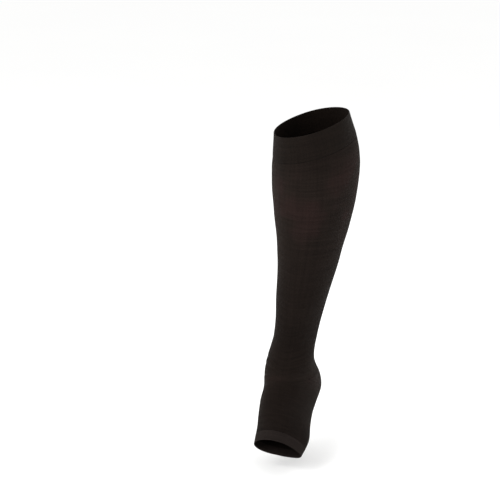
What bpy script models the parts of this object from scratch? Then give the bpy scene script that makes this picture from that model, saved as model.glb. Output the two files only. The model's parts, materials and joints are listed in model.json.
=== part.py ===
"""Open-toe, knee-high compression stocking for a left leg, in the form it keeps when worn.

Metres, +Z up. The toes point towards -Y, the outer side of the leg is towards +X, and the
origin is in the middle of the top band, where the leg holds the stocking up. The whole
stocking is one knitted tube, so every piece is a stretch of the same lofted surface, made
thick inwards by Solidify.
"""

import math
from collections import namedtuple

import bpy
from mathutils import Matrix, Vector

# Thickness of the cloth, which is double in the two bands
LEG_WALL = 0.0010
FOOT_WALL = 0.0010
HEEL_WALL = 0.0012
BAND_WALL = 0.0016
TOE_WALL = 0.0014

# The gap at each seam, the widths of the bands, and the heel pocket: how far it reaches above
# and below its own line at the back, how far round the foot, in degrees, and how it tapers
SEAM_GAP = 0.0003
BAND_WIDTH = 0.038
TOE_BAND_WIDTH = 0.016
HEEL_ABOVE = 0.034
HEEL_BELOW = 0.052
HEEL_REACH = 108.0
HEEL_TAPER = 1.5

# Pose, in degrees: the lean of the whole leg going up, how far the foot points down, and how
# far its outer side is rolled up against the lean
LEAN_OUTWARD = 6.5
LEAN_FORWARD = 2.0
FOOT_POINTED = 17.0
FOOT_ROLLED = 5.0
ANKLE_JOINT = Vector((0.0, 0.002, -0.378))

# Mesh density: sides round the tube, the longest row, and the narrow row along each edge.
# HEEL_TIP is how far the heel's points reach past its last columns, as a share of a side.
SIDES = 40
ROW_STEP = 0.017
EDGE_ROW = 0.0025
HEEL_TIP = 0.8

# The sections of the tube, from the top edge down to the toe opening, in metres. front and
# back are where a section meets the front and the back of the leg while the foot is flat; on
# the foot they are its top and its sole. foot is the share of the foot's pose that the section
# takes. mid_x is its middle, inner and outer are its half widths. belly moves the
# widest line towards the back, as a share of half the depth. crest moves the front line
# outwards. rise lifts the outer side along the tube, in degrees.
Section = namedtuple(
    "Section",
    "name foot front_y front_z back_y back_z mid_x inner outer belly crest rise",
)
SECTIONS = [
    Section("top edge", 0, -0.056, 0.009, 0.058, 0.031, -0.003, 0.0565, 0.0560, 0.05, 0.000, 18),
    Section("band", 0, -0.058, -0.030, 0.074, -0.010, 0.002, 0.0620, 0.0615, 0.10, 0.000, 15),
    Section("calf", 0, -0.057, -0.060, 0.083, -0.045, 0.004, 0.0640, 0.0635, 0.15, 0.000, 8),
    Section("low calf", 0, -0.053, -0.108, 0.079, -0.102, 0.007, 0.0600, 0.0590, 0.15, 0.000, 3),
    Section("shin", 0, -0.046, -0.172, 0.067, -0.170, 0.010, 0.0465, 0.0465, 0.10, 0.000, 0),
    Section("low shin", 0, -0.040, -0.240, 0.055, -0.240, 0.008, 0.0380, 0.0385, 0.05, 0.000, 0),
    Section("ankle", 0, -0.034, -0.308, 0.044, -0.312, 0.005, 0.0305, 0.0305, 0.05, 0.000, 0),
    Section("ankle bones", 0.5, -0.039, -0.340, 0.048, -0.358, 0.005, 0.034, 0.034, 0.00, 0.000, 0),
    Section("heel back", 0.9, -0.046, -0.356, 0.070, -0.406, 0.004, 0.038, 0.038, 0.00, 0.000, 0),
    Section("heel", 1, -0.053, -0.366, 0.067, -0.436, 0.004, 0.038, 0.039, 0.05, 0.000, 0),
    Section("sole", 1, -0.067, -0.373, 0.017, -0.440, 0.007, 0.038, 0.039, 0.15, 0.000, 0),
    Section("arch", 1, -0.086, -0.382, -0.036, -0.437, 0.017, 0.038, 0.041, 0.20, -0.003, 0),
    Section("instep", 1, -0.104, -0.392, -0.076, -0.438, 0.028, 0.039, 0.0415, 0.25, -0.006, 0),
    Section("toe edge", 1, -0.123, -0.401, -0.113, -0.438, 0.036, 0.039, 0.036, 0.30, -0.008, 0),
]
HEEL_SECTION = "heel back"


def foot_pose(share):
    """The turn of a section about the ankle joint, for its share of the foot's pose."""
    rolled = Matrix.Rotation(math.radians(-FOOT_ROLLED * share), 3, "Y")
    return rolled @ Matrix.Rotation(math.radians(FOOT_POINTED * share), 3, "X")


def ends_of(section):
    """The front and the back point of a section, with the foot in its pose."""
    turn = foot_pose(section.foot)
    front = Vector((section.mid_x, section.front_y, section.front_z))
    back = Vector((section.mid_x, section.back_y, section.back_z))
    return ANKLE_JOINT + turn @ (front - ANKLE_JOINT), ANKLE_JOINT + turn @ (back - ANKLE_JOINT)


def stations():
    """Each section's distance down the tube: the mean of its front and its back line."""
    distances = [0.0]
    ends = [ends_of(section) for section in SECTIONS]
    for (front, back), (next_front, next_back) in zip(ends, ends[1:]):
        distances.append(distances[-1] + ((next_front - front).length + (next_back - back).length) / 2)
    return distances


STATIONS = stations()
TUBE_LENGTH = STATIONS[-1]
HEEL_LINE = STATIONS[[section.name for section in SECTIONS].index(HEEL_SECTION)]
ROWS = [[*front, *back, row.foot, *row[7:]] for row in SECTIONS for front, back in [ends_of(row)]]
LEAN = Matrix.Rotation(math.radians(LEAN_OUTWARD), 3, "Y") @ Matrix.Rotation(
    math.radians(LEAN_FORWARD), 3, "X"
)


def slope(row, column):
    """The rate of change of a column at a section, from the sections on both sides of it."""
    low, high = max(row - 1, 0), min(row + 1, len(ROWS) - 1)
    return (ROWS[high][column] - ROWS[low][column]) / (STATIONS[high] - STATIONS[low])


def section_at(distance):
    """Every column of the table at a distance down the tube, on smooth curves through it."""
    row = 0
    while row < len(STATIONS) - 2 and distance > STATIONS[row + 1]:
        row += 1
    span = STATIONS[row + 1] - STATIONS[row]
    t = (distance - STATIONS[row]) / span
    near, near_slope = 2 * t**3 - 3 * t**2 + 1, t**3 - 2 * t**2 + t
    far, far_slope = 3 * t**2 - 2 * t**3, t**3 - t**2
    return [
        near * ROWS[row][column]
        + near_slope * span * slope(row, column)
        + far * ROWS[row + 1][column]
        + far_slope * span * slope(row + 1, column)
        for column in range(len(ROWS[0]))
    ]


def cloth_point(distance, turn):
    """A point of the outer surface. turn is in degrees, from the front round the outer side."""
    values = section_at(distance)
    front, back = Vector(values[0:3]), Vector(values[3:6])
    foot, inner, outer, belly, crest, rise = values[6:]
    forward = (front - back).normalized()
    level = foot_pose(foot).col[0]
    tilt = math.radians(rise)
    sideways = math.cos(tilt) * level + math.sin(tilt) * forward.cross(level)
    angle = math.radians(turn)
    along = (front - back).length / 2 * (math.cos(angle) - belly * math.sin(angle) ** 2)
    across = (outer if math.sin(angle) > 0 else inner) * math.sin(angle)
    across += crest * (1 + math.cos(angle)) / 2
    return LEAN @ ((front + back) / 2 + forward * along + sideways * across)


def stretch(distance, turn):
    """Length of cloth for each metre of distance down the tube, at one place."""
    reach = 0.002
    return (cloth_point(distance + reach, turn) - cloth_point(distance - reach, turn)).length / (2 * reach)


def top_edge(turn):
    """The top edge of the stocking, where distance starts."""
    return 0.0


def toe_edge(turn):
    """The edge of the toe opening, where the tube ends."""
    return TUBE_LENGTH


def band_line(turn):
    """The line where the top band meets the leg, one band width below the top edge."""
    return BAND_WIDTH / stretch(BAND_WIDTH / 2, turn)


def toe_line(turn):
    """The line where the toe band meets the foot, one band width above the toe opening."""
    return TUBE_LENGTH - TOE_BAND_WIDTH / stretch(TUBE_LENGTH - TOE_BAND_WIDTH / 2, turn)


def heel_share(turn):
    """The heel pocket's height at this turn, as a share of its height at the back."""
    from_back = min(abs(turn % 360 - 180) / HEEL_REACH, 1.0)
    return 1 - from_back**HEEL_TAPER


def heel_top_line(turn):
    """The line where the leg meets the heel pocket, and in front of it the foot."""
    return HEEL_LINE - HEEL_ABOVE * heel_share(turn) / stretch(HEEL_LINE, 180)


def heel_foot_line(turn):
    """The line where the foot meets the heel pocket, and in front of it the leg."""
    return HEEL_LINE + HEEL_BELOW * heel_share(turn) / stretch(HEEL_LINE, 180)


def moved(line, amount):
    """A line across the tube moved down the cloth by amount, in metres of cloth."""
    return lambda turn: line(turn) + amount / stretch(line(turn), turn)


def row_shares(length):
    """Shares of a panel's length where its rows of vertices go, with a narrow row at each edge."""
    rows = math.ceil(length / ROW_STEP)
    edge = EDGE_ROW / length
    inside = [edge + (1 - 2 * edge) * row / rows for row in range(rows + 1)]
    return [0.0] + inside + [1.0]


def grid_points(upper, lower, turns):
    """Columns of points between two lines across the tube, one column for each turn."""
    edges = [(upper(turn), lower(turn)) for turn in turns]
    shares = row_shares(max(low - up for up, low in edges))
    return [
        [cloth_point(up + share * (low - up), turn) for share in shares]
        for turn, (up, low) in zip(turns, edges)
    ]


def grid_faces(columns, rows, closed):
    """Faces between neighbouring columns, and from the last to the first where it is closed."""
    faces = []
    for column in range(columns if closed else columns - 1):
        near, far = column * rows, (column + 1) % columns * rows
        faces += [(near + row, near + row + 1, far + row + 1, far + row) for row in range(rows - 1)]
    return faces


def make_material(name, colour, roughness):
    material = bpy.data.materials.new(name)
    material.use_nodes = True
    shader = material.node_tree.nodes["Principled BSDF"]
    shader.inputs["Base Color"].default_value = (*colour, 1)
    shader.inputs["Roughness"].default_value = roughness
    shader.inputs["Metallic"].default_value = 0.0
    return material


def make_cloth(name, vertices, faces, wall, colour, roughness, collection):
    """An open sheet with outward faces, thickened inwards."""
    mesh = bpy.data.meshes.new(name)
    mesh.from_pydata(vertices, [], faces)
    mesh.shade_smooth()
    mesh.materials.append(make_material(name, colour, roughness))
    cloth = bpy.data.objects.new(name, mesh)
    collection.objects.link(cloth)
    solidify = cloth.modifiers.new("Wall", "SOLIDIFY")
    solidify.thickness = wall
    solidify.offset = -1
    return cloth


def make_tube(name, upper, lower, wall, colour, roughness, collection):
    """A piece that goes all round the leg, between two lines across the tube."""
    turns = [360 * side / SIDES for side in range(SIDES)]
    columns = grid_points(moved(upper, SEAM_GAP / 2), moved(lower, -SEAM_GAP / 2), turns)
    vertices = [point for column in columns for point in column]
    faces = grid_faces(len(columns), len(columns[0]), closed=True)
    return make_cloth(name, vertices, faces, wall, colour, roughness, collection)


def make_heel(name, wall, colour, roughness, collection):
    """The pocket round the back of the heel, which ends in a point at each side."""
    step = 360 / SIDES
    turns = [180 - HEEL_REACH + step * (side + 1) for side in range(round(2 * HEEL_REACH / step) - 1)]
    upper, lower = moved(heel_top_line, SEAM_GAP / 2), moved(heel_foot_line, -SEAM_GAP / 2)
    columns = grid_points(upper, lower, turns)
    rows = len(columns[0])
    vertices = [point for column in columns for point in column]
    faces = grid_faces(len(columns), rows, closed=False)
    past = step * HEEL_TIP
    for tip_turn, first in ((turns[0] - past, 0), (turns[-1] + past, len(vertices) - rows)):
        tip = len(vertices)
        vertices.append(cloth_point(HEEL_LINE, tip_turn))
        for row in range(first, first + rows - 1):
            faces.append((tip, row, row + 1) if first else (tip, row + 1, row))
    return make_cloth(name, vertices, faces, wall, colour, roughness, collection)


def build():
    for leftover in list(bpy.data.objects):
        bpy.data.objects.remove(leftover)
    stocking = bpy.data.collections.new("compression_stocking")
    bpy.context.scene.collection.children.link(stocking)
    make_tube("top_band", top_edge, band_line, BAND_WALL, (0.013, 0.010, 0.009), 0.75, stocking)
    make_tube("leg", band_line, heel_top_line, LEG_WALL, (0.021, 0.014, 0.012), 0.65, stocking)
    make_heel("heel", HEEL_WALL, (0.016, 0.012, 0.011), 0.75, stocking)
    make_tube("foot", heel_foot_line, toe_line, FOOT_WALL, (0.016, 0.011, 0.009), 0.70, stocking)
    make_tube("toe_band", toe_line, toe_edge, TOE_WALL, (0.018, 0.014, 0.013), 0.80, stocking)


build()
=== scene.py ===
"""The looks of an open-toe, knee-high compression stocking, in the form it keeps when worn.

The visible cloth is read from the solids of the frame: rays from the middle of the hollow find
their outer surface, a smooth skin is laid through the hits, and each knitted piece is a fine
grid on that skin, between the seams that the solids show. Lengths are in metres.
"""

import json
import math
from collections import namedtuple

import bpy
import numpy as np
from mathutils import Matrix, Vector
from mathutils.bvhtree import BVHTree

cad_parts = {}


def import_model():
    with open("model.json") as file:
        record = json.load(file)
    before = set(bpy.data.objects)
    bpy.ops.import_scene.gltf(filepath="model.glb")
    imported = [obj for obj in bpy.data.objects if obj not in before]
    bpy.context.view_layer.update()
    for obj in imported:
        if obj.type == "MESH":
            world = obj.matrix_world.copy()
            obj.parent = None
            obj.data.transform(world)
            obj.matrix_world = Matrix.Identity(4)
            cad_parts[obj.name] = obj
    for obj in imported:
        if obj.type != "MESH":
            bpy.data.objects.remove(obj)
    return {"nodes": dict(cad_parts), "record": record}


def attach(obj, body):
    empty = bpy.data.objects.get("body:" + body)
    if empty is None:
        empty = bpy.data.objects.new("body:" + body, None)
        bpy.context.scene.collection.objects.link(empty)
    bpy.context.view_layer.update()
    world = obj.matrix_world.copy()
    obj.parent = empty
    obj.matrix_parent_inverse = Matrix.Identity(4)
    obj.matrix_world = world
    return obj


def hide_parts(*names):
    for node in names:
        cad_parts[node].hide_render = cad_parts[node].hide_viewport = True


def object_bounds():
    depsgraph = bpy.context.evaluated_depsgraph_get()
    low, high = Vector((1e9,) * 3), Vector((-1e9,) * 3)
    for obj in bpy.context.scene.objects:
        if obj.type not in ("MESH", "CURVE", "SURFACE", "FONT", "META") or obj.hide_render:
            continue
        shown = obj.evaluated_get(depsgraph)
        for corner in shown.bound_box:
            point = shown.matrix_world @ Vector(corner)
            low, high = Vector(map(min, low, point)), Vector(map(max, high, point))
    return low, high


# The knitted tube, from the top down: the rows of each piece's grid between its edges, its wall,
# how far it stands proud of the solid, its material slot in the record, and its yarn
Cloth = namedtuple("Cloth", "piece rows wall proud slot yarn")
CLOTHS = [
    Cloth("top_band", 16, 0.0017, 0.0005, "band_knit", "band"),
    Cloth("leg", 120, 0.0009, 0.0003, "leg_knit", "plain"),
    Cloth("heel", 26, 0.0011, 0.0004, "heel_knit", "plain"),
    Cloth("foot", 50, 0.0009, 0.0003, "foot_knit", "plain"),
    Cloth("toe_band", 8, 0.0015, 0.0005, "toe_knit", "toe"),
]
PIECES = [cloth.piece for cloth in CLOTHS]

# The grids: columns round the tube, rows close together at the edges, and sides round each fold.
# A narrow piece keeps its folds and its edge rows within these shares of its width. The heel
# ends where it is narrower than LEAST_HEEL.
COLUMNS = 240
EDGE_ROWS = np.array([0.0, 0.0003, 0.0008, 0.0015, 0.0025, 0.004])
EDGE_SHARE = 0.3
FOLD_SHARE = 0.25
FOLD_SIDES = 6
SEAM_GAP = 0.0003
LEAST_HEEL = 0.0009

# Stitches: wales run down the tube, and courses round it. The names are of the UV map that
# counts them and of the attribute that says how far the knit is stretched open.
WALES = 360
COURSE = 0.0009
STITCHES = "Stitches"
OPENNESS = "Openness"

# The knitted size is smaller than the worn size
STRETCH_ROUND = 1.25
STRETCH_LONG = 1.05

# Linking stitches, sunk in the seams
LINKING_RADIUS = 0.00034
LINKING_WAIST = 0.35
LINKING_SUNK = 0.00030
CORD_SIDES = 6
STEPS_A_STITCH = 6

# The look of the yarns. The colours, in linear light, are of the tight knit, of the knit that is
# stretched open, and of its sheerest patches. The open and sheerest colours are lighter and
# redder:
# partly the stretched knit's own tone, partly a painted highlight on the calf.
Yarn = namedtuple("Yarn", "tight open sheer roughness gloss sheen")
YARNS = {
    "band": Yarn(
        tight=(0.0068, 0.0045, 0.0034, 1),
        open=(0.0080, 0.0054, 0.0040, 1),
        sheer=(0.0084, 0.0050, 0.0043, 1),
        roughness=0.75,
        gloss=0.05,
        sheen=0.010,
    ),
    "plain": Yarn(
        tight=(0.0076, 0.0052, 0.0042, 1),
        open=(0.0121, 0.0084, 0.0068, 1),
        sheer=(0.0150, 0.0087, 0.0076, 1),
        roughness=0.72,
        gloss=0.03,
        sheen=0.012,
    ),
    "toe": Yarn(
        tight=(0.0140, 0.0104, 0.0092, 1),
        open=(0.0142, 0.0106, 0.0094, 1),
        sheer=(0.0140, 0.0100, 0.0096, 1),
        roughness=0.78,
        gloss=0.04,
        sheen=0.010,
    ),
}
SHEEN_TINT = (1.0, 0.78, 0.62, 1)
SHEEN_ROUGHNESS = 0.4

# The knit's brightness is a base level and a share of each of these: the height in a stitch, which
# paints shade into the gaps between its strands, the fuzz on the yarn, the streaks along courses
# and wales, and soft patches. Patches and fuzz are given by their noise scale, and streaks by
# their noise steps for each wale and each course.
BASE_SHADE = 0.50
STITCH_SHADE = 0.90
FUZZ_SHADE = 0.15
COURSE_SHADE = 0.8
WALE_SHADE = 0.5
PATCH_SHADE = 0.5
FUZZ = 2600.0
PATCHES = 16.0
COURSE_STREAKS = (0.015, 0.33)
WALE_STREAKS = (0.35, 0.010)

# Where the knit is sheerest and carries the most painted highlight: from these to these values of
# its openness and of the patches' noise
SHEER_HIGHLIGHT_OPENNESS = (0.5, 0.95)
SHEER_HIGHLIGHT_PATCH = (0.40, 0.58)

# The relief of the knit: how far a stitch's legs slant, in courses, its depth, the bump's
# strength, and the height of a streak and of the fuzz against that of a stitch
STITCH_SLANT = 1.2
STITCH_DEPTH = 0.00025
BUMP_STRENGTH = 0.8
COURSE_RELIEF = 3.0
FUZZ_RELIEF = 0.4

# The linking yarn, with fibres lighter than the rest
THREAD = (0.0030, 0.0020, 0.0018, 1)
THREAD_FIBRES = 2.2
THREAD_ROUGHNESS = 0.8
THREAD_GLOSS = 0.1

# The stage: the floor is where the sole of the foot would stand
FLOOR_BELOW = 0.027
FLOOR_SIZE = 80.0
FLOOR_COLOUR = (0.985, 0.985, 0.98, 1)
FLOOR_DARKEST = 0.985
FLOOR_CLOUDS = 1.5
FLOOR_ROUGHNESS = 0.95
WORLD_COLOUR = (1.0, 1.0, 1.0, 1)
WORLD_STRENGTH = 1.0

# Soft square lamps: azimuth 0 is in front of the leg, angles in degrees
Lamp = namedtuple("Lamp", "name azimuth elevation away size power")
LAMPS = [
    Lamp("key", -20, 30, 2.2, 1.2, 28),
    Lamp("fill", 70, 25, 2.6, 1.0, 7),
    Lamp("back", 170, 35, 2.2, 1.0, 12),
]

# The camera: its turn round the leg, its view downwards and its width of view, in degrees, how far
# away it is, and how far it is moved to its left and downwards
VIEW_TURN = 25.0
VIEW_DOWN = 14.5
VIEW_AWAY = 2.3
VIEW_WIDTH = 17.9
AIM_LEFT = 0.089
AIM_BELOW = 0.165

# Slack that pulls a little differently from place to place: round_it counts waves round the tube
Wave = namedtuple("Wave", "length round_it height start")
SLACK = [
    Wave(0.145, 2, 0.00035, 0.4),
    Wave(0.091, -3, 0.00022, 2.1),
    Wave(0.057, 4, 0.00012, 3.9),
    Wave(0.043, -5, 0.00008, 1.2),
]

# Soft creases where the ankle bends: places in metres and turns in degrees from the front
Crease = namedtuple("Crease", "below_ankle turn half_length half_width depth slant")
CREASES = [
    Crease(-0.046, 12, 34, 0.0032, 0.0006, 0.004),
    Crease(-0.028, -16, 52, 0.0028, 0.0009, -0.003),
    Crease(-0.012, 8, 64, 0.0025, 0.0012, 0.002),
    Crease(0.002, -8, 48, 0.0030, 0.0008, -0.004),
    Crease(0.018, 20, 36, 0.0032, 0.0005, 0.003),
    Crease(-0.062, 196, 30, 0.0034, 0.0005, 0.005),
    Crease(-0.049, 172, 44, 0.0030, 0.0008, 0.002),
    Crease(-0.037, 190, 38, 0.0026, 0.0007, -0.004),
]

# How far the knit is stretched open: not at all at the tight girth, fully at the wide one, and
# less next to the band, which holds it
TIGHT_GIRTH = 0.20
WIDE_GIRTH = 0.41
BAND_HOLDS = 0.035
HELD_SHARE = 0.5

# Reading the solids. Rays reach this far to the cloth, then step off its inner face and go on to
# its outer one. The spine runs on past both ends of the tube, with its planes carried along in
# fine steps. Seams are found at fine places.
REACH = 0.15
THICKEST_WALL = 0.006
OFF_THE_FACE = 0.00002
PAST_TOP = 0.05
PAST_TOES = 0.03
CARRY_STEP = 0.002
PLACE_STEP = 0.00025
SEAM_NUDGES = [0, 1, -1, 2, -2]
SEAM_RAYS = 180
SEAM_SMOOTHING = 4.0

# The skin: sections this far apart and this far from both edges, with rays all round, as sums
# of harmonics, smoothed along the tube. Normals and girths are measured over these steps.
STATION_STEP = 0.003
EDGE_CLEAR = 0.0025
SECTION_RAYS = 120
HARMONICS = 10
SMOOTHING = 0.003
NORMAL_REACH = 0.0005
NORMAL_TURN = 0.01
GIRTH_SIDES = 120


def smooth_curve(knots, values, at):
    """Values on a smooth curve through the rows of values at the knots, for an array of places."""
    slopes = np.gradient(values, knots, axis=0)
    index = np.clip(np.searchsorted(knots, at, side="right") - 1, 0, len(knots) - 2)
    span = (knots[index + 1] - knots[index])[:, None]
    t = (at - knots[index])[:, None] / span
    return (
        (2 * t**3 - 3 * t**2 + 1) * values[index]
        + (t**3 - 2 * t**2 + t) * span * slopes[index]
        + (3 * t**2 - 2 * t**3) * values[index + 1]
        + (t**3 - t**2) * span * slopes[index + 1]
    )


def unit(vectors):
    """Vectors of length 1 along the given ones."""
    return vectors / np.linalg.norm(vectors, axis=-1, keepdims=True)


def bell(offsets, width):
    """The weights of a smoothing kernel: a bell curve at these offsets, with a sum of 1."""
    weights = np.exp(-((offsets / width) ** 2) / 2)
    return weights / weights.sum()


class Solids:
    """The frame's nodes, for rays from inside the hollow."""

    def __init__(self, nodes):
        self.vertices = {}
        self.owner = []
        points = []
        polygons = []
        for order, name in enumerate(PIECES):
            mesh = nodes[name].data
            self.vertices[name] = np.array([v.co for v in mesh.vertices])
            first = len(points)
            points += [tuple(point) for point in self.vertices[name]]
            polygons += [tuple(first + v for v in face.vertices) for face in mesh.polygons]
            self.owner += [order] * len(mesh.polygons)
        self.tree = BVHTree.FromPolygons(points, polygons)

    def leave(self, centre, direction):
        """How far a ray goes until it comes out of the cloth, and the order of the piece there."""
        centre, direction = Vector(centre), Vector(direction)
        inner = self.tree.ray_cast(centre, direction, REACH)[0]
        if inner is None:
            return None
        start = inner + direction * OFF_THE_FACE
        outer, _, face, _ = self.tree.ray_cast(start, direction, THICKEST_WALL)
        if outer is None:
            return None
        return (outer - centre).length, self.owner[face]

    def ring_plane(self, name):
        """The middle and the axis of a band: it is narrow, so its points vary least along it."""
        points = self.vertices[name]
        middle = points.mean(axis=0)
        spread = np.linalg.eigh(np.cov((points - middle).T))[1]
        return middle, spread[:, 0]


class Spine:
    """The line down the middle of the hollow, with a plane across the tube at each place."""

    def __init__(self, solids, hollows):
        top, top_axis = solids.ring_plane(PIECES[0])
        toe, toe_axis = solids.ring_plane(PIECES[-1])
        centres = [np.array(h["box_m"]).mean(axis=0) for h in hollows]
        line = np.array([top, *centres[1:-1], toe])
        top_axis = top_axis * np.sign(top_axis @ (line[1] - line[0]))
        toe_axis = toe_axis * np.sign(toe_axis @ (line[-1] - line[-2]))
        line = np.array([top - PAST_TOP * top_axis, *line, toe + PAST_TOES * toe_axis])
        lengths = np.linalg.norm(np.diff(line, axis=0), axis=1)
        self.knots = np.concatenate([[0], np.cumsum(lengths)])
        self.line = line
        axes = unit(np.gradient(line, self.knots, axis=0))
        axes[0] = axes[1] = top_axis
        axes[-1] = axes[-2] = toe_axis
        self.axes = axes
        self.length = self.knots[-1]
        self.marks = np.arange(0, self.length + CARRY_STEP, CARRY_STEP)
        self.fronts = self.carried_fronts()

    def axis(self, at):
        """The way down the tube at an array of places."""
        return unit(smooth_curve(self.knots, self.axes, at))

    def carried_fronts(self):
        """The front of each plane, turned from one plane to the next without any twist."""
        front = np.array([0.0, -1.0, 0.0])
        fronts = []
        for axis in self.axis(self.marks):
            front = front - (front @ axis) * axis
            front = front / np.linalg.norm(front)
            fronts.append(front)
        return np.array(fronts)

    def planes(self, at):
        """The centre, front and outer side of the planes at an array of places."""
        centre = smooth_curve(self.knots, self.line, at)
        axis = self.axis(at)
        front = smooth_curve(self.marks, self.fronts, at)
        front = unit(front - (front * axis).sum(axis=1, keepdims=True) * axis)
        return centre, front, np.cross(front, axis)


def ray(plane, turn):
    """The start and direction of a ray in a plane across the tube."""
    centre, front, side = plane
    return centre, front * math.cos(turn) + side * math.sin(turn)


class Skin:
    """The outer surface of the cloth: a smooth function of the place down the spine and the turn.

    Places are in metres along the spine. Turns are in radians, from the front round the outer
    side of the leg.
    """

    def __init__(self, solids, spine):
        self.solids, self.spine = solids, spine
        self.places = np.arange(0.0, spine.length, PLACE_STEP)
        self.planes = list(zip(*spine.planes(self.places)))
        self.seam_turns = np.radians(np.arange(SEAM_RAYS) * 360 / SEAM_RAYS)
        self.seams = [self.find_seam(order) for order in range(len(PIECES) + 1)]
        self.read_sections()
        self.station_girths = [self.girth(place) for place in self.stations]

    def order_at(self, index, turn):
        """The order of the piece in one plane at one turn: -1 above the top, 5 past the toes.

        A ray that slips through a seam is cast again in the planes next to it.
        """
        for nudge in SEAM_NUDGES:
            found = self.solids.leave(*ray(self.planes[index + nudge], turn))
            if found:
                return found[1]
        return -1 if index < len(self.places) / 2 else len(PIECES)

    def find_seam(self, order):
        """Where the piece of this order, or one after it, starts, at each of the seam turns."""
        found = []
        spare = max(SEAM_NUDGES)
        for turn in self.seam_turns:
            above, below = spare, len(self.places) - 1 - spare
            while below - above > 1:
                middle = (above + below) // 2
                if self.order_at(middle, turn) >= order:
                    below = middle
                else:
                    above = middle
            found.append(self.places[below])
        around = (np.arange(SEAM_RAYS) - SEAM_RAYS // 2) * 360 / SEAM_RAYS
        kernel = np.fft.ifftshift(bell(around, SEAM_SMOOTHING))
        return np.fft.irfft(np.fft.rfft(found) * np.fft.rfft(kernel), SEAM_RAYS)

    def seam(self, order, turns):
        """The place of a seam at any turns."""
        return np.interp(turns, self.seam_turns, self.seams[order], period=2 * math.pi)

    def read_radii(self):
        """The distances from the spine to the outside of the cloth, a row for each station."""
        turns = np.arange(SECTION_RAYS) * 2 * math.pi / SECTION_RAYS
        rows = []
        for plane in zip(*self.spine.planes(self.stations)):
            found = [self.solids.leave(*ray(plane, turn)) for turn in turns]
            hit = np.array([f is not None for f in found])
            radii = np.array([f[0] for f in found if f is not None])
            rows.append(np.interp(turns, turns[hit], radii, period=2 * math.pi))
        return np.array(rows)

    def read_sections(self):
        """Reads the cloth as waves round the tube, smoothed along it and carried past its ends."""
        first, last = self.seams[0].max() + EDGE_CLEAR, self.seams[-1].min() - EDGE_CLEAR
        self.stations = np.linspace(first, last, math.ceil((last - first) / STATION_STEP))
        waves = np.fft.rfft(self.read_radii(), axis=1)[:, : HARMONICS + 1] / SECTION_RAYS
        waves[:, 1:] *= 2
        waves = np.hstack([waves.real, -waves.imag])
        step = self.stations[1] - self.stations[0]
        reach = math.ceil(4 * SMOOTHING / step)
        beyond = np.arange(1, 2 * reach + 1)[:, None]
        before = waves[0] - beyond[::-1] * (waves[2] - waves[0]) / 2
        after = waves[-1] + beyond * (waves[-1] - waves[-3]) / 2
        kernel = bell(np.arange(-reach, reach + 1) * step, SMOOTHING)
        columns = np.vstack([before, waves, after]).T
        self.waves = np.array([np.convolve(column, kernel, mode="valid") for column in columns]).T
        self.wave_places = self.stations[0] + step * (np.arange(len(self.waves)) - reach)

    def surface(self, places, turns):
        """Points of the skin, for flat arrays of places and turns."""
        waves = smooth_curve(self.wave_places, self.waves, places)
        angles = turns[:, None] * np.arange(HARMONICS + 1)
        basis = np.hstack([np.cos(angles), np.sin(angles)])
        radius = (waves * basis).sum(axis=1, keepdims=True)
        centre, front, side = self.spine.planes(places)
        return centre + radius * (front * np.cos(turns)[:, None] + side * np.sin(turns)[:, None])

    def frame_at(self, places, turns):
        """Points of the skin and its outward normals, for flat arrays of places and turns."""
        points = self.surface(places, turns)
        reach, turn = NORMAL_REACH, NORMAL_TURN
        down = self.surface(places + reach, turns) - self.surface(places - reach, turns)
        round_it = self.surface(places, turns + turn) - self.surface(places, turns - turn)
        return points, unit(np.cross(down, round_it))

    def girth(self, place):
        """The length of cloth round the tube at a place."""
        turns = np.arange(GIRTH_SIDES) * 2 * math.pi / GIRTH_SIDES
        ring = self.surface(np.full(len(turns), place), turns)
        return np.linalg.norm(np.roll(ring, -1, axis=0) - ring, axis=1).sum()

    def heights(self, places, turns):
        """How far the worn cloth stands out from the skin: the slack in it, less its creases."""
        turns = np.broadcast_to(turns, places.shape)
        height = np.zeros(places.shape)
        for wave in SLACK:
            along = 2 * math.pi * places / wave.length
            height += wave.height * np.sin(along + wave.round_it * turns + wave.start)
        ankle = self.seams[PIECES.index("heel")].mean()
        for crease in CREASES:
            middle = ankle + crease.below_ankle
            away = (turns - math.radians(crease.turn) + math.pi) % (2 * math.pi) - math.pi
            across = places - middle - crease.slant * away
            along = away / math.radians(crease.half_length)
            height -= crease.depth * np.exp(-((across / crease.half_width) ** 2) - along**4)
        return height

    def girths(self, places):
        """The girth of the tube at an array of places."""
        return np.interp(places, self.stations, self.station_girths)


def profile(above, below, cloth):
    """The closed outline of a wall of cloth, cut lengthwise: a row of places and heights a point.

    It runs down the outer side, round the lower edge, up the inner side and round the upper edge.
    There is one column for each turn, between the seams given above and below.
    """
    radius = np.minimum(cloth.wall / 2, FOLD_SHARE * (below - above))
    above, below = above + SEAM_GAP / 2 + radius, below - SEAM_GAP / 2 - radius
    margin = np.minimum(EDGE_ROWS[-1], EDGE_SHARE * (below - above))
    near = EDGE_ROWS[:, None] / EDGE_ROWS[-1] * margin
    shares = np.linspace(0, 1, cloth.rows + 2)[1:-1, None]
    middle = above + margin + shares * (below - above - 2 * margin)
    down = np.vstack([above + near, middle, below - near[::-1]])
    bend = (np.arange(1, FOLD_SIDES) * math.pi / FOLD_SIDES)[:, None]
    lower, upper = below + radius * np.sin(bend), above - radius * np.sin(bend)
    outer = np.full(down.shape, cloth.proud)
    inner = outer - 2 * radius
    fold = cloth.proud - radius + radius * np.cos(bend)
    places = np.vstack([down, lower, down[::-1], upper])
    heights = np.vstack([outer, fold, inner, fold[::-1]])
    return places, heights


def add_object(name, data):
    """An object in the scene, for a mesh, a light or a camera."""
    thing = bpy.data.objects.new(name, data)
    bpy.context.collection.objects.link(thing)
    return thing


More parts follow.
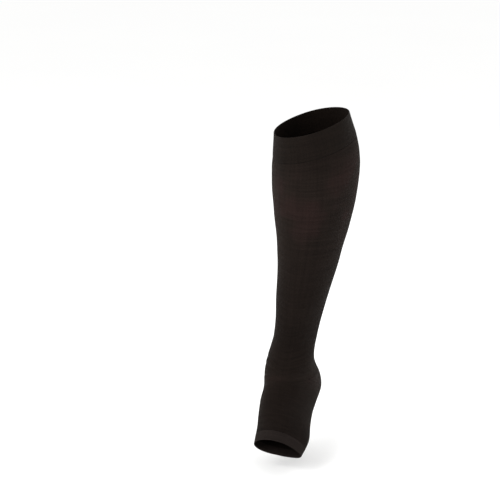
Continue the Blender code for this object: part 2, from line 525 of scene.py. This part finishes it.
def grid_object(name, points, courses, wales, around, openness):
    """A mesh from closed outlines, one a column, with its stitches counted in its UV map."""
    rows, columns = points.shape[:2]
    mesh = bpy.data.meshes.new(name)
    index = np.arange(rows * columns).reshape(rows, columns)
    if around:
        index = np.hstack([index, index[:, :1]])
    index = np.vstack([index, index[:1]])
    corners = [index[:-1, :-1], index[1:, :-1], index[1:, 1:], index[:-1, 1:]]
    faces = np.stack(corners, axis=-1).reshape(-1, 4)
    u = np.broadcast_to(wales, index.shape)
    v = np.broadcast_to(courses[:, None], index.shape)
    stitches = np.stack([u, v], axis=-1)
    corners = [stitches[:-1, :-1], stitches[1:, :-1], stitches[1:, 1:], stitches[:-1, 1:]]
    uv = np.stack(corners, axis=2).reshape(-1, 2)
    polygons = faces.tolist()
    if not around:
        first, last = index[:-1, 0], index[:-1, -1]
        polygons += [first[::-1].tolist(), last.tolist()]
        uv = np.vstack([uv, stitches[:-1, 0][::-1], stitches[:-1, -1]])
    mesh.from_pydata(points.reshape(-1, 3).tolist(), [], polygons)
    mesh.uv_layers.new(name=STITCHES).data.foreach_set("uv", uv.astype(np.float32).ravel())
    layer = mesh.attributes.new(OPENNESS, "FLOAT", "POINT")
    layer.data.foreach_set("value", openness.astype(np.float32).ravel())
    mesh.shade_smooth()
    mesh.update()
    return add_object(name, mesh)


def turns_of(skin, order):
    """The turns of a piece's columns, and whether it goes all round the tube."""
    turns = np.arange(COLUMNS) * 2 * math.pi / COLUMNS
    if PIECES[order] != "heel":
        return turns, True
    width = skin.seam(order + 1, turns) - skin.seam(order, turns)
    return turns[width > LEAST_HEEL], False


def spans(points):
    """The lengths down the columns and across the rows of a grid of points."""
    down = np.linalg.norm(np.diff(points, axis=0), axis=2).sum(axis=0)
    across = np.linalg.norm(np.diff(points, axis=1), axis=2).sum(axis=1)
    return down, across


def area_of(points):
    """The area of a grid of points, from the diagonals of its cells."""
    first = points[1:, 1:] - points[:-1, :-1]
    second = points[1:, :-1] - points[:-1, 1:]
    return np.linalg.norm(np.cross(first, second), axis=2).sum() / 2


def openness_at(skin, places, turns):
    """How far the knit is stretched open, from 0 to 1: more at a wide girth, less by the band."""
    wide = (skin.girths(places) - TIGHT_GIRTH) / (WIDE_GIRTH - TIGHT_GIRTH)
    below_band = (places - skin.seam(1, turns)) / BAND_HOLDS
    return np.clip(wide, 0, 1) * (HELD_SHARE + (1 - HELD_SHARE) * np.clip(below_band, 0, 1))


def knit_piece(skin, cloth):
    """One knitted piece on the skin, with the cut it had before it was stretched."""
    order = PIECES.index(cloth.piece)
    turns, around = turns_of(skin, order)
    places, heights = profile(skin.seam(order, turns), skin.seam(order + 1, turns), cloth)
    every_turn = np.broadcast_to(turns, places.shape)
    points, normals = skin.frame_at(places.ravel(), every_turn.ravel())
    heights = heights + skin.heights(places, turns)
    points = (points + normals * heights.ravel()[:, None]).reshape(*places.shape, 3)
    closed = np.vstack([points, points[:1]])
    steps = np.linalg.norm(np.diff(closed, axis=0), axis=2).mean(axis=1)
    courses = np.concatenate([[0], np.cumsum(steps)]) / COURSE
    columns = len(turns) + around
    wales = turns[0] / (2 * math.pi) * WALES + np.arange(columns) * WALES / COLUMNS
    openness = openness_at(skin, places, turns)
    piece = grid_object(f"{cloth.piece}_knit", points, courses, wales, around, openness)
    outer = points[: 2 * len(EDGE_ROWS) + cloth.rows]
    if around:
        outer = np.hstack([outer, outer[:, :1]])
    down, across = spans(outer)
    flat = (across.max() / STRETCH_ROUND, down.max() / STRETCH_LONG)
    return piece, flat, area_of(outer) / (STRETCH_ROUND * STRETCH_LONG)


def ring_tube(name, centres, normals, radii, around):
    """A thin cord through the centres, as a mesh tube; open ones have their ends capped."""
    ahead = np.roll(centres, -1, axis=0) - np.roll(centres, 1, axis=0)
    if not around:
        ahead[0], ahead[-1] = centres[1] - centres[0], centres[-1] - centres[-2]
    sides = np.cross(unit(ahead), normals)
    turn = (np.arange(CORD_SIDES) * 2 * math.pi / CORD_SIDES)[None, :, None]
    out = normals[:, None] * np.cos(turn) + sides[:, None] * np.sin(turn)
    points = centres[:, None] + out * radii[:, None, None]
    count = len(centres)
    index = np.arange(count * CORD_SIDES).reshape(count, CORD_SIDES)
    index = np.hstack([index, index[:, :1]])
    if around:
        index = np.vstack([index, index[:1]])
    corners = [index[:-1, :-1], index[:-1, 1:], index[1:, 1:], index[1:, :-1]]
    faces = np.stack(corners, axis=-1).reshape(-1, 4).tolist()
    if not around:
        faces += [index[0, :-1][::-1].tolist(), index[-1, :-1].tolist()]
    mesh = bpy.data.meshes.new(name)
    mesh.from_pydata(points.reshape(-1, 3).tolist(), [], faces)
    mesh.shade_smooth()
    return add_object(name, mesh)


def linking(skin, name, order, start=0.0, end=360.0):
    """A row of linking stitches sunk in a seam, one stitch a wale, between two turns."""
    around = end - start == 360.0
    count = round((end - start) / 360 * WALES) * STEPS_A_STITCH
    turns = np.radians(start + (end - start) * np.arange(count) / count)
    places = skin.seam(order, turns)
    points, normals = skin.frame_at(places, turns)
    height = skin.heights(places, turns) - LINKING_SUNK
    beat = np.abs(np.sin(math.pi * np.arange(count) / STEPS_A_STITCH))
    radii = LINKING_RADIUS * (1 - LINKING_WAIST * (1 - beat))
    return ring_tube(name, points + normals * height[:, None], normals, radii, around)


class Tree:
    """A material's nodes, with short ways to add them."""

    def __init__(self, name):
        self.material = bpy.data.materials.new(name)
        self.material.use_nodes = True
        self.nodes = self.material.node_tree.nodes
        self.links = self.material.node_tree.links
        self.shader = self.nodes["Principled BSDF"]

    def add(self, kind, *inputs, **settings):
        """Adds a node with its settings, and links or sets its first inputs; None skips one."""
        node = self.nodes.new(kind)
        for name, value in settings.items():
            setattr(node, name, value)
        for socket, value in zip(node.inputs, inputs):
            self.feed(socket, value)
        return node

    def feed(self, socket, value):
        """Links a socket to a value that is another node's output, or else sets it."""
        if isinstance(value, bpy.types.NodeSocket):
            self.links.new(value, socket)
        elif value is not None:
            socket.default_value = value

    def set(self, node, inputs):
        """Links or sets a node's inputs by name."""
        for name, value in inputs.items():
            self.feed(node.inputs[name], value)

    def maths(self, operation, *inputs):
        """The result of one operation on values."""
        return self.add("ShaderNodeMath", *inputs, operation=operation).outputs[0]

    def weighted(self, *pairs):
        """The sum of values, each times its weight."""
        total = 0.0
        for value, weight in pairs:
            total = self.maths("MULTIPLY_ADD", value, weight, total)
        return total

    def blend(self, share, first, second):
        """A colour between two, by a share from 0 to 1."""
        node = self.add("ShaderNodeMix", data_type="RGBA")
        self.set(node, {"Factor": share, "A": first, "B": second})
        return next(output for output in node.outputs if output.type == "RGBA")

    def noise(self, scale, detail, place=None):
        """Noise about 0.5, in the object's space or at a place of its own."""
        if place is None:
            place = self.add("ShaderNodeTexCoord").outputs["Object"]
        node = self.add("ShaderNodeTexNoise", place)
        self.set(node, {"Scale": scale, "Detail": detail})
        return node.outputs[0]

    def streaks(self, u, v, per_wale, per_course):
        """Noise about 0, drawn out along the wales or the courses, on a tube so that it meets."""
        angle = self.maths("MULTIPLY", u, 2 * math.pi / WALES)
        radius = per_wale * WALES / (2 * math.pi)
        x = self.maths("MULTIPLY", self.maths("COSINE", angle), radius)
        y = self.maths("MULTIPLY", self.maths("SINE", angle), radius)
        down = self.maths("MULTIPLY", v, per_course)
        place = self.add("ShaderNodeCombineXYZ", x, y, down).outputs[0]
        return self.maths("SUBTRACT", self.noise(1.0, 2.0, place), 0.5)

    def rise(self, value, low, high):
        """A smooth step from 0 at low to 1 at high."""
        node = self.add("ShaderNodeMapRange", value, low, high, interpolation_type="SMOOTHSTEP")
        return node.outputs[0]


def stitch_heights(tree, u, v):
    """The face of a plain knit: each stitch is a V of two strands, with gaps between them."""
    side = tree.maths("ABSOLUTE", tree.maths("SUBTRACT", tree.maths("FRACT", u), 0.5))
    leg = tree.maths("PINGPONG", tree.maths("MULTIPLY", side, 4.0), 1.0)
    slanted = tree.maths("MULTIPLY_ADD", side, STITCH_SLANT, v)
    row = tree.maths("PINGPONG", tree.maths("MULTIPLY", slanted, 2.0), 1.0)
    return tree.maths("SQRT", tree.maths("MULTIPLY", leg, row))


def knit_ground(tree, yarn, patches):
    """The colour of the knit before its shading, by how far it is stretched open: lighter and
    redder where open and in sheer patches, partly its own tone and partly a painted highlight.
    """
    openness = tree.add("ShaderNodeAttribute", attribute_name=OPENNESS).outputs["Fac"]
    ground = tree.blend(openness, yarn.tight, yarn.open)
    # Painted highlight: where the knit is most stretched, and in patches, it turns lighter and
    # redder, partly as its own sheer tone
    sheer = tree.maths(
        "MULTIPLY",
        tree.rise(openness, *SHEER_HIGHLIGHT_OPENNESS),
        tree.rise(patches, *SHEER_HIGHLIGHT_PATCH),
    )
    return tree.blend(sheer, ground, yarn.sheer)


def knit_material(name, yarn):
    """A taut plain knit, lighter where it is stretched open, partly as a painted highlight, with
    painted shade in the gaps of its stitches, faint streaks and mottling.
    """
    tree = Tree(name)
    stitches = tree.add("ShaderNodeUVMap", uv_map=STITCHES).outputs["UV"]
    u, v, _ = tree.add("ShaderNodeSeparateXYZ", stitches).outputs
    stitch = stitch_heights(tree, u, v)
    courses = tree.streaks(u, v, *COURSE_STREAKS)
    wales = tree.streaks(u, v, *WALE_STREAKS)
    patches = tree.noise(PATCHES, detail=2.0)
    fuzz = tree.noise(FUZZ, detail=3.0)
    # Painted shade: the gaps between the strands of each stitch are darker in colour, as well as
    # lower in the bump
    shade = tree.weighted(
        (stitch, STITCH_SHADE),
        (fuzz, FUZZ_SHADE),
        (courses, COURSE_SHADE),
        (wales, WALE_SHADE),
        (patches, PATCH_SHADE),
        (BASE_SHADE - PATCH_SHADE / 2, 1.0),
    )
    colour = tree.add("ShaderNodeVectorMath", knit_ground(tree, yarn, patches), operation="SCALE")
    tree.feed(colour.inputs["Scale"], shade)
    bump = tree.add("ShaderNodeBump")
    tree.set(bump, {
        "Strength": BUMP_STRENGTH,
        "Distance": STITCH_DEPTH,
        "Height": tree.weighted((stitch, 1.0), (courses, COURSE_RELIEF), (fuzz, FUZZ_RELIEF)),
    })
    tree.set(tree.shader, {
        "Base Color": colour.outputs[0],
        "Normal": bump.outputs[0],
        "Roughness": yarn.roughness,
        "Specular IOR Level": yarn.gloss,
        "Sheen Weight": yarn.sheen,
        "Sheen Roughness": SHEEN_ROUGHNESS,
        "Sheen Tint": SHEEN_TINT,
    })
    return tree.material


def scaled(colour, factor):
    """A colour made lighter or darker, still opaque."""
    return (*(factor * channel for channel in colour[:3]), 1)


def thread_material():
    """The linking yarn: dull and darker than the knit."""
    tree = Tree("linking_yarn")
    fibres = tree.noise(FUZZ, detail=4.0)
    tree.set(tree.shader, {
        "Base Color": tree.blend(fibres, THREAD, scaled(THREAD, THREAD_FIBRES)),
        "Roughness": THREAD_ROUGHNESS,
        "Specular IOR Level": THREAD_GLOSS,
    })
    return tree.material


def floor_material():
    """Plain, pale and matt, very faintly clouded."""
    tree = Tree("floor")
    clouds = tree.noise(FLOOR_CLOUDS, detail=2.0)
    tree.set(tree.shader, {
        "Base Color": tree.blend(clouds, scaled(FLOOR_COLOUR, FLOOR_DARKEST), FLOOR_COLOUR),
        "Roughness": FLOOR_ROUGHNESS,
        "Specular IOR Level": 0.0,
    })
    return tree.material


def make_floor(lowest):
    """The floor, this far below the lowest point of the stocking."""
    mesh = bpy.data.meshes.new("floor")
    half, height = FLOOR_SIZE / 2, lowest - FLOOR_BELOW
    corners = [(-half, -half), (half, -half), (half, half), (-half, half)]
    mesh.from_pydata([(x, y, height) for x, y in corners], [], [(0, 1, 2, 3)])
    mesh.materials.append(floor_material())
    floor = add_object("floor", mesh)


def direction(azimuth, elevation):
    """From the object towards a place round it: azimuth 0 is in front of the leg."""
    turn, rise = math.radians(azimuth), math.radians(elevation)
    level = math.cos(rise)
    return Vector((math.sin(turn) * level, -math.cos(turn) * level, math.sin(rise)))


def make_lights(middle):
    """A white world and soft lamps, turned towards the middle of the stocking."""
    world = bpy.data.worlds.new("studio")
    world.use_nodes = True
    background = world.node_tree.nodes["Background"]
    background.inputs["Color"].default_value = WORLD_COLOUR
    background.inputs["Strength"].default_value = WORLD_STRENGTH
    bpy.context.scene.world = world
    bpy.context.scene.view_settings.view_transform = "Standard"
    for lamp in LAMPS:
        light = bpy.data.lights.new(lamp.name, "AREA")
        light.energy = lamp.power
        light.size = lamp.size
        thing = add_object(lamp.name, light)
        way = direction(lamp.azimuth, lamp.elevation)
        thing.location = middle + way * lamp.away
        thing.rotation_euler = way.to_track_quat("Z", "Y").to_euler()


def make_camera():
    """The camera, aimed beside the top band."""
    camera = bpy.data.cameras.new("camera")
    camera.angle = math.radians(VIEW_WIDTH)
    thing = add_object("camera", camera)
    back = direction(VIEW_TURN, VIEW_DOWN)
    rotation = back.to_track_quat("Z", "Y")
    right, up = rotation @ Vector((1, 0, 0)), rotation @ Vector((0, 1, 0))
    thing.location = back * VIEW_AWAY - right * AIM_LEFT - up * AIM_BELOW
    thing.rotation_euler = rotation.to_euler()
    bpy.context.scene.camera = thing


def make_linkings(skin):
    """The linking rows, by the piece that each one hangs from."""
    heel = np.degrees(turns_of(skin, PIECES.index("heel"))[0])
    rows = {
        "top_band": linking(skin, "band_linking", 1),
        "leg": linking(skin, "ankle_linking", 2),
        "heel": linking(skin, "heel_linking", 3, heel[0], heel[-1]),
        "foot": linking(skin, "toe_linking", 4),
    }
    yarn = thread_material()
    for row in rows.values():
        row.data.materials.append(yarn)
        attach(row, "root")
    return rows


def make_stocking(skin):
    """All the knitted pieces and linking rows, each on its body and with its material."""
    linkings = make_linkings(skin)
    for order, cloth in enumerate(CLOTHS):
        piece, flat, area = knit_piece(skin, cloth)
        piece.data.materials.append(knit_material(f"{cloth.piece}_knit", YARNS[cloth.yarn]))
        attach(piece, "root")
        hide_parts(cloth.piece)


def main():
    """Builds the stocking round its solids, and the stage."""
    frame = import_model()
    cad_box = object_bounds()
    solids = Solids(frame["nodes"])
    spine = Spine(solids, frame["record"]["physics"]["openings"])
    make_stocking(Skin(solids, spine))
    make_floor(cad_box[0][2])
    make_lights((Vector(cad_box[0]) + Vector(cad_box[1])) / 2)
    make_camera()


main()
